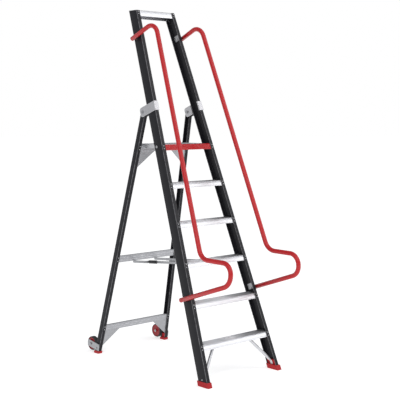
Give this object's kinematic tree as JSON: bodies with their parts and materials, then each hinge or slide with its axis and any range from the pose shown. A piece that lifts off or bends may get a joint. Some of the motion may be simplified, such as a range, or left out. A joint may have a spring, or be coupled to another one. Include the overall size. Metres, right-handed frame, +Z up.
{
  "type": "platform step ladder",
  "caption": "Folding platform step ladder with leaning channel stiles, flat treads, a standing deck, a top tray, bent handrails and transport wheels",
  "frame": {"origin": "on the floor, at the middle of the ladder's footprint box", "axes": "+Z up, +X to the climber's right, the climber stands at -Y and climbs towards +Y"},
  "size_m": [0.643, 1.4246, 2.31],
  "materials": {
    "fibreglass": "satin charcoal pultruded glass fibre with fine lengthwise streaks",
    "aluminium": "mill-finish extruded aluminium with fine ribs",
    "zinc_steel": "zinc-plated steel",
    "red_coat": "glossy red powder coat",
    "red_rubber": "matt dark red moulded rubber",
    "red_hub": "moulded dark red plastic",
    "black_plastic": "black moulded plastic",
    "tyre": "dark solid rubber"
  },
  "bodies": {
    "front_frame": {"front_stile_left": "fibreglass", "front_stile_right": "fibreglass", "top_bar": "aluminium", "platform_front": "red_coat", "step_1": "aluminium", "step_2": "aluminium", "step_3": "aluminium", "step_4": "aluminium", "step_5": "aluminium", "hinge_bracket_left": "aluminium", "hinge_plate_left": "aluminium", "hinge_bolt_left": "zinc_steel", "handrail_left": "red_coat", "rail_spacer_upper_left": "black_plastic", "rail_spacer_lower_left": "black_plastic", "rail_clamp_upper_left": "zinc_steel", "rail_clamp_lower_left": "zinc_steel", "brace_strut_left": "aluminium", "front_foot_left": "red_rubber", "platform_pivot_left": "zinc_steel", "stay_lug_left": "zinc_steel", "hinge_bracket_right": "aluminium", "hinge_plate_right": "aluminium", "hinge_bolt_right": "zinc_steel", "handrail_right": "red_coat", "rail_spacer_upper_right": "black_plastic", "rail_spacer_lower_right": "black_plastic", "rail_clamp_upper_right": "zinc_steel", "rail_clamp_lower_right": "zinc_steel", "brace_strut_right": "aluminium", "front_foot_right": "red_rubber", "platform_pivot_right": "zinc_steel", "stay_lug_right": "zinc_steel"},
    "rear_frame": {"upper_crossbar": "aluminium", "mid_crossbar": "aluminium", "lower_crossbar": "aluminium", "rear_leg_left": "fibreglass", "leg_bush_left": "zinc_steel", "upper_gusset_left": "zinc_steel", "lower_gusset_left": "zinc_steel", "wheel_plate_left": "aluminium", "wheel_axle_left": "zinc_steel", "rear_foot_left": "red_rubber", "rear_leg_right": "fibreglass", "leg_bush_right": "zinc_steel", "upper_gusset_right": "zinc_steel", "lower_gusset_right": "zinc_steel", "wheel_plate_right": "aluminium", "wheel_axle_right": "zinc_steel", "rear_foot_right": "red_rubber"},
    "platform": {"platform_deck": "aluminium"},
    "stay_front": {"stay_arm_left": "zinc_steel", "stay_arm_right": "zinc_steel", "stay_grip": "black_plastic"},
    "stay_rear": {"stay_hook_left": "zinc_steel", "stay_hook_right": "zinc_steel"},
    "wheel_left": {"wheel_hub_left": "red_hub", "wheel_tyre_left": "tyre"},
    "wheel_right": {"wheel_hub_right": "red_hub", "wheel_tyre_right": "tyre"}
  },
  "joints": [
    {"name": "fold", "type": "hinge", "parent": "front_frame", "child": "rear_frame", "pos_m": [0, 0.2088, 1.6454], "axis": [-1, 0, 0], "range_deg": [0, 33.6]},
    {"name": "platform_lift", "type": "hinge", "parent": "front_frame", "child": "platform", "pos_m": [0, 0.05104, 1.425], "axis": [1, 0, 0], "range_deg": [0, 69]},
    {"name": "stay_swing", "type": "hinge", "parent": "front_frame", "child": "stay_front", "pos_m": [0, -0.18107, 0.688], "axis": [-1, 0, 0], "range_deg": [0, 104]},
    {"name": "stay_knee", "type": "hinge", "parent": "stay_front", "child": "stay_rear", "pos_m": [0, 0.31234, 0.64224], "axis": [-1, 0, 0], "range_deg": [0, 178]},
    {"name": "wheel_spin_left", "type": "hinge", "parent": "rear_frame", "child": "wheel_left", "pos_m": [0, 0.66478, 0.057], "axis": [1, 0, 0], "continuous": true},
    {"name": "wheel_spin_right", "type": "hinge", "parent": "rear_frame", "child": "wheel_right", "pos_m": [0, 0.66478, 0.057], "axis": [1, 0, 0], "continuous": true}
  ],
  "couplings": [
    {"joint": "platform_lift", "follows": "fold", "ratio": 2.05},
    {"joint": "stay_swing", "follows": "fold", "ratio": 3.09},
    {"joint": "stay_knee", "follows": "fold", "ratio": 5.29}
  ]
}
